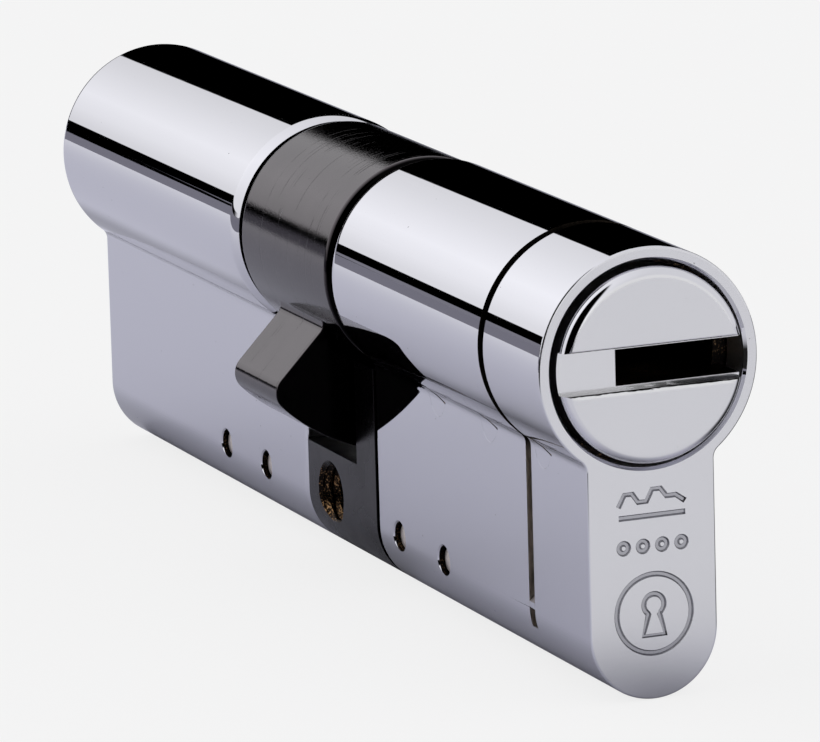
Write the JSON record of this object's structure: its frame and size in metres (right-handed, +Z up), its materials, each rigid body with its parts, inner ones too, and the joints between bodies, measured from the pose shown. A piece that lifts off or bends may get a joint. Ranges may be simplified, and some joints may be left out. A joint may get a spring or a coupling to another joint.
{
  "type": "euro cylinder",
  "caption": "Double euro profile lock cylinder: chrome halves joined by a dark bar, key plug at each end, pin stacks, clutch and a turning cam with its lug",
  "frame": {"origin": "the centre of the fixing screw's hole in the connecting bar, on the mid plane of the profile", "axes": "+X across the profile along the fixing screw's hole, to the right seen from the front key face; +Y along the cylinder from the front key face to the back one; +Z up from the screw to the barrel"},
  "size_m": [0.0196, 0.102, 0.033],
  "materials": {
    "polished_chrome": "mirror-polished chrome plate on brass",
    "gunmetal_steel": "dark sintered and turned steel with a satin sheen",
    "brass": "turned brass",
    "bright_steel": "ground steel",
    "spring_steel": "drawn spring steel"
  },
  "bodies": {
    "housing": {"front_body": "polished_chrome", "back_body": "polished_chrome", "connecting_bar": "gunmetal_steel", "front_cross_pin_1": "bright_steel", "front_cross_pin_2": "bright_steel", "back_cross_pin_1": "bright_steel", "back_cross_pin_2": "bright_steel", "front_chamber_plug_1": "polished_chrome", "front_chamber_plug_2": "polished_chrome", "front_chamber_plug_3": "polished_chrome", "front_chamber_plug_4": "polished_chrome", "back_chamber_plug_1": "polished_chrome", "back_chamber_plug_2": "polished_chrome", "back_chamber_plug_3": "polished_chrome", "back_chamber_plug_4": "polished_chrome", "front_side_plug_1": "polished_chrome", "front_side_plug_2": "polished_chrome", "front_side_plug_3": "polished_chrome", "back_side_plug_1": "polished_chrome", "back_side_plug_2": "polished_chrome", "back_side_plug_3": "polished_chrome", "front_pin_spring_1": "spring_steel", "front_pin_spring_2": "spring_steel", "front_pin_spring_3": "spring_steel", "front_pin_spring_4": "spring_steel", "front_pin_spring_5": "spring_steel", "back_pin_spring_1": "spring_steel", "back_pin_spring_2": "spring_steel", "back_pin_spring_3": "spring_steel", "back_pin_spring_4": "spring_steel", "back_pin_spring_5": "spring_steel"},
    "front_plug": {"front_plug": "polished_chrome", "front_clip": "spring_steel"},
    "back_plug": {"back_plug": "polished_chrome", "back_clip": "spring_steel"},
    "cam": {"cam": "gunmetal_steel"},
    "front_coupler": {"front_coupler": "bright_steel", "clutch_spring": "spring_steel"},
    "back_coupler": {"back_coupler": "bright_steel"},
    "front_key_pin_1": {"front_key_pin_1": "brass"},
    "front_driver_pin_1": {"front_driver_pin_1": "bright_steel"},
    "front_key_pin_2": {"front_key_pin_2": "brass"},
    "front_driver_pin_2": {"front_driver_pin_2": "bright_steel"},
    "front_key_pin_3": {"front_key_pin_3": "brass"},
    "front_driver_pin_3": {"front_driver_pin_3": "bright_steel"},
    "front_key_pin_4": {"front_key_pin_4": "brass"},
    "front_driver_pin_4": {"front_driver_pin_4": "bright_steel"},
    "front_key_pin_5": {"front_key_pin_5": "brass"},
    "front_driver_pin_5": {"front_driver_pin_5": "bright_steel"},
    "back_key_pin_1": {"back_key_pin_1": "brass"},
    "back_driver_pin_1": {"back_driver_pin_1": "bright_steel"},
    "back_key_pin_2": {"back_key_pin_2": "brass"},
    "back_driver_pin_2": {"back_driver_pin_2": "bright_steel"},
    "back_key_pin_3": {"back_key_pin_3": "brass"},
    "back_driver_pin_3": {"back_driver_pin_3": "bright_steel"},
    "back_key_pin_4": {"back_key_pin_4": "brass"},
    "back_driver_pin_4": {"back_driver_pin_4": "bright_steel"},
    "back_key_pin_5": {"back_key_pin_5": "brass"},
    "back_driver_pin_5": {"back_driver_pin_5": "bright_steel"}
  },
  "joints": [
    {"name": "front_plug_turn", "type": "hinge", "parent": "housing", "child": "front_plug", "pos_m": [0, 0, 0.0191], "axis": [0, 1, 0], "continuous": true},
    {"name": "back_plug_turn", "type": "hinge", "parent": "housing", "child": "back_plug", "pos_m": [0, 0, 0.0191], "axis": [0, 1, 0], "continuous": true},
    {"name": "cam_turn", "type": "hinge", "parent": "housing", "child": "cam", "pos_m": [0, 0, 0.0191], "axis": [0, 1, 0], "continuous": true},
    {"name": "front_coupler_slide", "type": "slide", "parent": "front_plug", "child": "front_coupler", "axis": [0, 1, 0], "range_m": [-0.0033, 0]},
    {"name": "back_coupler_slide", "type": "slide", "parent": "back_plug", "child": "back_coupler", "axis": [0, 1, 0], "range_m": [-0.0033, 0]},
    {"name": "front_key_pin_1_slide", "type": "slide", "parent": "front_plug", "child": "front_key_pin_1", "axis": [0, 0, 1], "range_m": [0, 0.0013]},
    {"name": "front_driver_pin_1_slide", "type": "slide", "parent": "housing", "child": "front_driver_pin_1", "axis": [0, 0, 1], "range_m": [-0.0015, 0], "stiffness_N_per_m": 4, "springref_m": 0.0015, "deforming": ["front_pin_spring_1"]},
    {"name": "front_key_pin_2_slide", "type": "slide", "parent": "front_plug", "child": "front_key_pin_2", "axis": [0, 0, 1], "range_m": [0, 0.0013]},
    {"name": "front_driver_pin_2_slide", "type": "slide", "parent": "housing", "child": "front_driver_pin_2", "axis": [0, 0, 1], "range_m": [-0.0015, 0], "stiffness_N_per_m": 4, "springref_m": 0.0015, "deforming": ["front_pin_spring_2"]},
    {"name": "front_key_pin_3_slide", "type": "slide", "parent": "front_plug", "child": "front_key_pin_3", "axis": [0, 0, 1], "range_m": [0, 0.0013]},
    {"name": "front_driver_pin_3_slide", "type": "slide", "parent": "housing", "child": "front_driver_pin_3", "axis": [0, 0, 1], "range_m": [-0.0015, 0], "stiffness_N_per_m": 4, "springref_m": 0.0015, "deforming": ["front_pin_spring_3"]},
    {"name": "front_key_pin_4_slide", "type": "slide", "parent": "front_plug", "child": "front_key_pin_4", "axis": [0, 0, 1], "range_m": [0, 0.0013]},
    {"name": "front_driver_pin_4_slide", "type": "slide", "parent": "housing", "child": "front_driver_pin_4", "axis": [0, 0, 1], "range_m": [-0.0015, 0], "stiffness_N_per_m": 4, "springref_m": 0.0015, "deforming": ["front_pin_spring_4"]},
    {"name": "front_key_pin_5_slide", "type": "slide", "parent": "front_plug", "child": "front_key_pin_5", "axis": [0, 0, 1], "range_m": [0, 0.0013]},
    {"name": "front_driver_pin_5_slide", "type": "slide", "parent": "housing", "child": "front_driver_pin_5", "axis": [0, 0, 1], "range_m": [-0.0015, 0], "stiffness_N_per_m": 4, "springref_m": 0.0015, "deforming": ["front_pin_spring_5"]},
    {"name": "back_key_pin_1_slide", "type": "slide", "parent": "back_plug", "child": "back_key_pin_1", "axis": [0, 0, 1], "range_m": [0, 0.0013]},
    {"name": "back_driver_pin_1_slide", "type": "slide", "parent": "housing", "child": "back_driver_pin_1", "axis": [0, 0, 1], "range_m": [-0.0015, 0], "stiffness_N_per_m": 4, "springref_m": 0.0015, "deforming": ["back_pin_spring_1"]},
    {"name": "back_key_pin_2_slide", "type": "slide", "parent": "back_plug", "child": "back_key_pin_2", "axis": [0, 0, 1], "range_m": [0, 0.0013]},
    {"name": "back_driver_pin_2_slide", "type": "slide", "parent": "housing", "child": "back_driver_pin_2", "axis": [0, 0, 1], "range_m": [-0.0015, 0], "stiffness_N_per_m": 4, "springref_m": 0.0015, "deforming": ["back_pin_spring_2"]},
    {"name": "back_key_pin_3_slide", "type": "slide", "parent": "back_plug", "child": "back_key_pin_3", "axis": [0, 0, 1], "range_m": [0, 0.0013]},
    {"name": "back_driver_pin_3_slide", "type": "slide", "parent": "housing", "child": "back_driver_pin_3", "axis": [0, 0, 1], "range_m": [-0.0015, 0], "stiffness_N_per_m": 4, "springref_m": 0.0015, "deforming": ["back_pin_spring_3"]},
    {"name": "back_key_pin_4_slide", "type": "slide", "parent": "back_plug", "child": "back_key_pin_4", "axis": [0, 0, 1], "range_m": [0, 0.0013]},
    {"name": "back_driver_pin_4_slide", "type": "slide", "parent": "housing", "child": "back_driver_pin_4", "axis": [0, 0, 1], "range_m": [-0.0015, 0], "stiffness_N_per_m": 4, "springref_m": 0.0015, "deforming": ["back_pin_spring_4"]},
    {"name": "back_key_pin_5_slide", "type": "slide", "parent": "back_plug", "child": "back_key_pin_5", "axis": [0, 0, 1], "range_m": [0, 0.0013]},
    {"name": "back_driver_pin_5_slide", "type": "slide", "parent": "housing", "child": "back_driver_pin_5", "axis": [0, 0, 1], "range_m": [-0.0015, 0], "stiffness_N_per_m": 4, "springref_m": 0.0015, "deforming": ["back_pin_spring_5"]}
  ],
  "couplings": [
    {"joint": "cam_turn", "follows": "front_plug_turn", "ratio": 1},
    {"joint": "back_coupler_slide", "follows": "front_coupler_slide", "ratio": 1}
  ]
}
